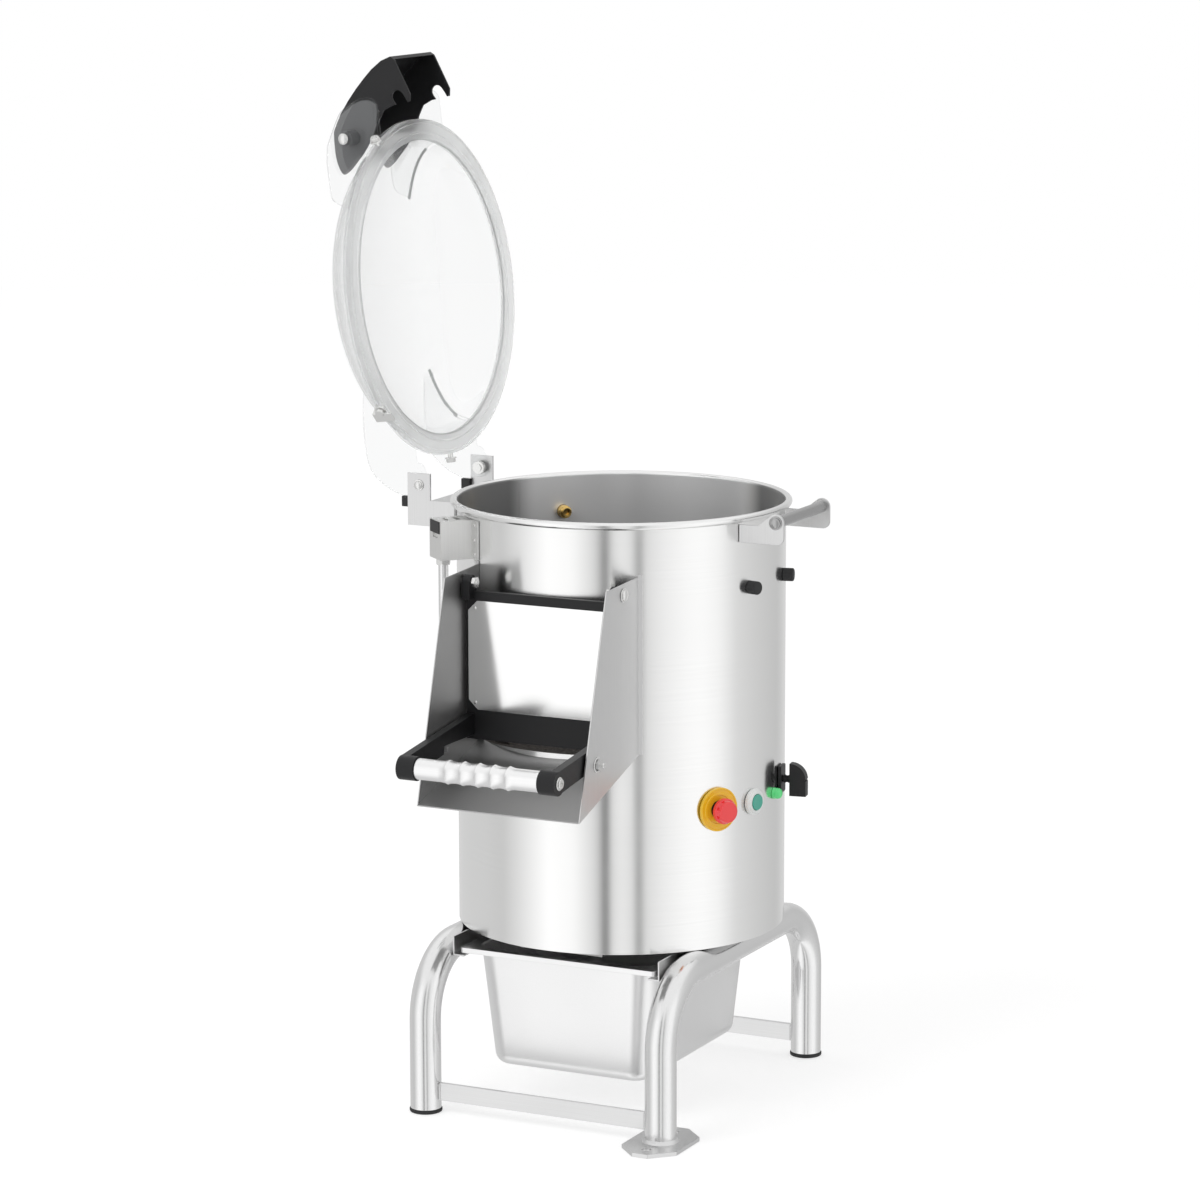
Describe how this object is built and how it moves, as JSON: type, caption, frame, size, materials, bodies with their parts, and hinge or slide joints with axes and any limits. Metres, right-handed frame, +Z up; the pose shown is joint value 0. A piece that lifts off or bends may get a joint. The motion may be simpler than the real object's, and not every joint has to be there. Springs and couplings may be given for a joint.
{
  "type": "electric potato peeler",
  "caption": "Upright steel drum peeler on a tube stand, with a clear hinged lid and latch, a discharge chute with a lifting door, controls and a sliding peel pan.",
  "frame": {"origin": "centre of the bounding box's bottom face, on the floor", "axes": "+Z up, the chute faces -Y, the lid's hinge is at -X and the latch's catch at +X"},
  "size_m": [0.6098, 0.651, 1.2611],
  "materials": {
    "tube_steel": "polished stainless tube",
    "flat_steel": "brushed stainless flat stock",
    "pan_steel": "pressed stainless, satin",
    "casing_steel": "polished stainless sheet",
    "sheet_steel": "folded stainless sheet, fine brushed",
    "bright_sheet": "bright satin stainless sheet",
    "switch_steel": "satin stainless sheet",
    "machined_steel": "turned steel",
    "bolt_steel": "stainless fastener",
    "housing_iron": "grey cast iron",
    "abrasive": "cast disc with a coarse grit coat",
    "motor_paint": "dark grey paint",
    "grip_aluminium": "turned and satin finished",
    "nozzle_brass": "turned brass",
    "bezel_plastic": "glossy moulded",
    "clear_plastic": "clear moulded polycarbonate",
    "seal_plastic": "light grey seal ring",
    "black_plastic": "black moulded plastic",
    "dark_grey_plastic": "grey moulded plastic",
    "grey_plastic": "light grey enclosure",
    "conduit_grey": "grey sheathed conduit",
    "yellow_plastic": "yellow disc",
    "red_plastic": "red button",
    "green_plastic": "green button",
    "lamp_plastic": "translucent green lens",
    "black_rubber": "black rubber",
    "belt_rubber": "black drive belt"
  },
  "bodies": {
    "machine": {"left_leg_frame": "tube_steel", "right_leg_frame": "tube_steel", "front_tie_bar": "flat_steel", "rear_tie_bar": "flat_steel", "front_left_foot_cap": "black_rubber", "rear_right_foot_cap": "black_rubber", "front_right_foot_plate": "flat_steel", "rear_left_foot_plate": "flat_steel", "left_pan_rail": "flat_steel", "right_pan_rail": "flat_steel", "drum_casing": "casing_steel", "chamber_floor": "flat_steel", "base_plate": "flat_steel", "bearing_housing": "housing_iron", "lower_bearing": "machined_steel", "upper_bearing": "machined_steel", "drive_belt": "belt_rubber", "motor_bracket": "flat_steel", "motor": "motor_paint", "electrical_box": "grey_plastic", "chute": "sheet_steel", "left_door_bolt": "bolt_steel", "right_door_bolt": "bolt_steel", "front_hinge_bolt": "bolt_steel", "rear_hinge_bolt": "bolt_steel", "front_stop_block": "black_rubber", "rear_stop_block": "black_rubber", "hinge_bracket": "sheet_steel", "front_catch_plate": "sheet_steel", "rear_catch_plate": "sheet_steel", "catch_bar": "machined_steel", "front_bumper": "black_rubber", "rear_bumper": "black_rubber", "lid_switch_box": "switch_steel", "switch_conduit": "conduit_grey", "estop_plate": "yellow_plastic", "estop_barrel": "black_plastic", "start_bezel": "bezel_plastic", "pilot_lamp": "lamp_plastic", "rotary_plate": "black_plastic", "water_nozzle": "nozzle_brass", "cable_gland": "black_plastic"},
    "disc": {"abrasive_disc": "abrasive", "drive_shaft": "machined_steel"},
    "rotor": {"motor_shaft": "machined_steel"},
    "lid": {"lid_dome": "clear_plastic", "lid_seal": "seal_plastic", "switch_actuator": "bolt_steel"},
    "latch": {"latch_lever": "black_plastic", "front_latch_cheek": "dark_grey_plastic", "rear_latch_cheek": "dark_grey_plastic"},
    "door": {"chute_door": "black_plastic", "door_face_plate": "bright_sheet", "left_door_arm": "black_plastic", "right_door_arm": "black_plastic", "door_grip": "grip_aluminium"},
    "pan": {"peel_pan": "pan_steel"},
    "stop_button": {"estop_mushroom": "red_plastic"},
    "start_push": {"start_button": "green_plastic"},
    "selector": {"rotary_handle": "black_plastic"}
  },
  "joints": [
    {"name": "disc_spin", "type": "hinge", "parent": "machine", "child": "disc", "pos_m": [0.05845, 0.0605, 0.4], "axis": [0, 0, 1], "continuous": true},
    {"name": "motor_spin", "type": "hinge", "parent": "machine", "child": "rotor", "pos_m": [0.05845, 0.1725, 0.26], "axis": [0, 0, 1], "continuous": true},
    {"name": "lid_swing", "type": "hinge", "parent": "machine", "child": "lid", "pos_m": [-0.17555, 0.0605, 0.7445], "axis": [0, 1, 0], "range_deg": [0, 97]},
    {"name": "latch_swing", "type": "hinge", "parent": "lid", "child": "latch", "pos_m": [-0.27706, 0.0605, 1.16174], "axis": [0, -1, 0], "range_deg": [0, 22]},
    {"name": "door_swing", "type": "hinge", "parent": "machine", "child": "door", "pos_m": [0.05845, -0.1515, 0.656], "axis": [-1, 0, 0], "range_deg": [0, 70]},
    {"name": "pan_slide", "type": "slide", "parent": "machine", "child": "pan", "axis": [0, -1, 0], "range_m": [0, 0.3]},
    {"name": "stop_push", "type": "slide", "parent": "machine", "child": "stop_button", "axis": [-0.8738, 0.4863, 0], "range_m": [0, 0.005]},
    {"name": "start_press", "type": "slide", "parent": "machine", "child": "start_push", "axis": [-0.9774, 0.2113, 0], "range_m": [0, 0.003], "stiffness_N_per_m": 400, "springref_m": -0.0005},
    {"name": "selector_turn", "type": "hinge", "parent": "machine", "child": "selector", "pos_m": [0.25541, 0.09523, 0.397], "axis": [-0.9848, -0.1736, 0], "range_deg": [0, 90]}
  ],
  "couplings": [
    {"joint": "motor_spin", "follows": "disc_spin", "ratio": 3}
  ]
}
